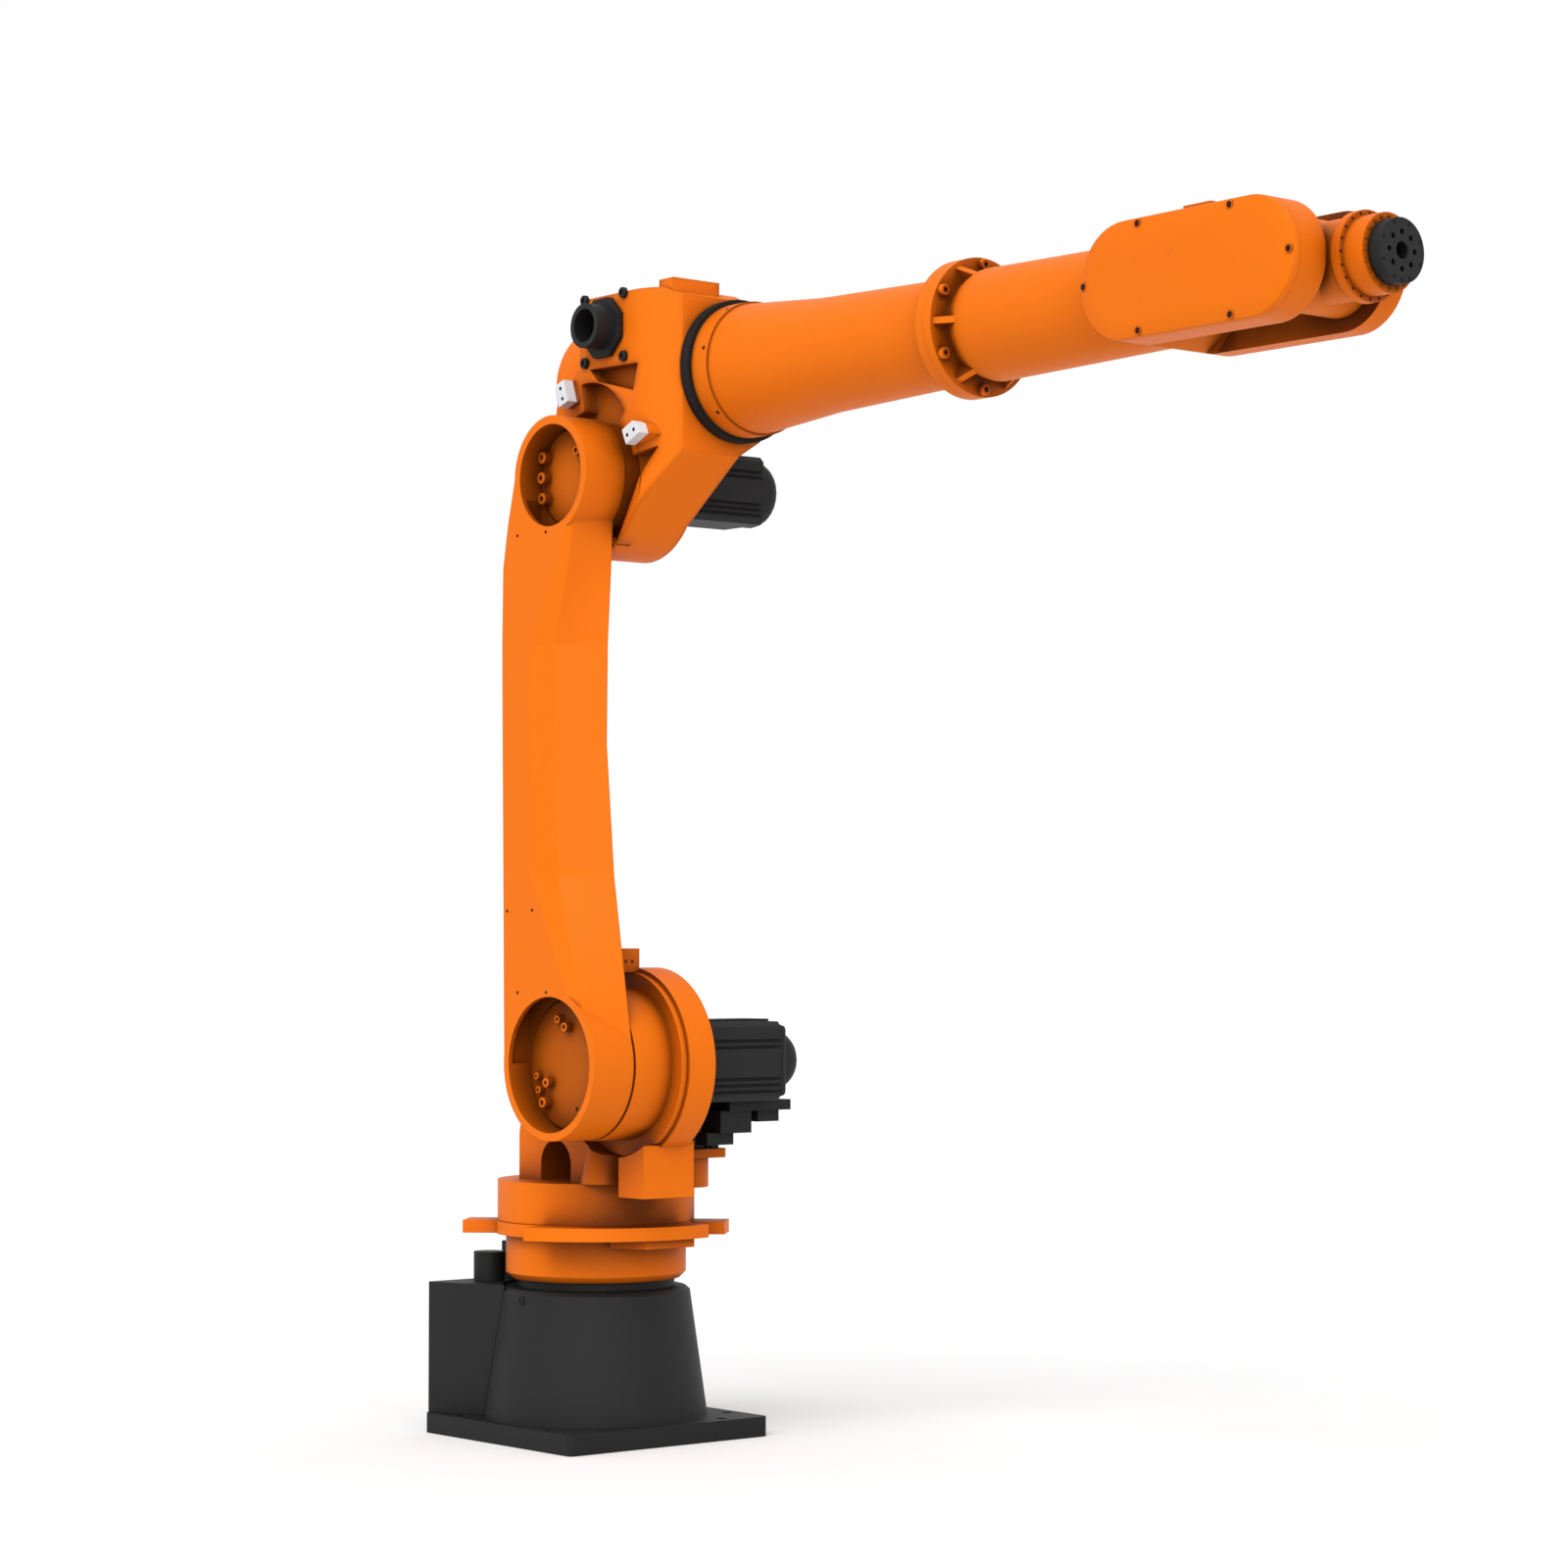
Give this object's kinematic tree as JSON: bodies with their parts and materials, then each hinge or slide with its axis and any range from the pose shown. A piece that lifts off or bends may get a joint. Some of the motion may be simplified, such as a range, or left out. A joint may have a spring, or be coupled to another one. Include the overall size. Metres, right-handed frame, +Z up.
{
  "type": "industrial robot arm",
  "caption": "Floor-bolted six-axis industrial robot arm with a one-sided upper arm, finned motors, bolted forearm tube and forked wrist ending in a round tool flange.",
  "frame": {"origin": "centre of the base plate's bottom face, on the first axis", "axes": "+Z up along the first axis, +X forward along the forearm at rest, +Y to the motors' side; the upper arm is on the -Y side"},
  "size_m": [1.963, 0.491, 1.866],
  "materials": {
    "orange_paint": "semi-gloss paint on castings",
    "black_paint": "matt dark paint",
    "white_stop": "satin",
    "black_rubber": "matt"
  },
  "bodies": {
    "base": {"base_casting": "black_paint", "base_collar": "black_paint", "connector_box": "black_paint", "cable_gland": "black_paint", "rear_hood": "black_paint"},
    "turret": {"turret_ring": "orange_paint", "lug_plate": "orange_paint", "stop_tab": "orange_paint", "turret_casting": "orange_paint", "j2_reducer": "orange_paint", "shoulder_stop": "orange_paint", "j2_motor": "black_paint", "j2_motor_cap": "black_paint", "j2_connectors": "black_paint", "j1_gear": "orange_paint", "j1_motor_flange": "orange_paint", "j1_motor": "black_paint"},
    "upper_arm": {"upper_arm": "orange_paint", "lower_hub_disc": "orange_paint", "upper_hub_disc": "orange_paint"},
    "elbow": {"elbow_housing": "orange_paint", "j3_reducer": "orange_paint", "j3_motor": "black_paint", "j3_motor_cap": "black_paint", "cable_inlet": "black_paint", "front_stop": "white_stop", "rear_stop": "white_stop", "seal_ring": "black_rubber"},
    "forearm": {"rear_forearm": "orange_paint", "front_forearm": "orange_paint", "near_wrist_cover": "orange_paint"},
    "wrist": {"wrist_housing": "orange_paint", "flange_case": "orange_paint"},
    "tool_flange": {"tool_flange": "black_paint"}
  },
  "joints": [
    {"name": "j1_turn", "type": "hinge", "parent": "base", "child": "turret", "pos_m": [0, 0, 0.26], "axis": [0, 0, 1], "range_deg": [-165, 165]},
    {"name": "j2_shoulder", "type": "hinge", "parent": "turret", "child": "upper_arm", "pos_m": [0.18, -0.15, 0.618], "axis": [0, 1, 0], "range_deg": [-60, 76]},
    {"name": "j3_elbow", "type": "hinge", "parent": "upper_arm", "child": "elbow", "pos_m": [0.18, -0.15, 1.558], "axis": [0, -1, 0], "range_deg": [-78, 88]},
    {"name": "j4_forearm_roll", "type": "hinge", "parent": "elbow", "child": "forearm", "pos_m": [0.386, 0, 1.723], "axis": [1, 0, 0], "range_deg": [-180, 180]},
    {"name": "j5_wrist_pitch", "type": "hinge", "parent": "forearm", "child": "wrist", "pos_m": [1.6, 0, 1.723], "axis": [0, 1, 0], "range_deg": [-115, 115]},
    {"name": "j6_flange_roll", "type": "hinge", "parent": "wrist", "child": "tool_flange", "pos_m": [1.74, 0, 1.723], "axis": [1, 0, 0], "range_deg": [-360, 360]}
  ]
}
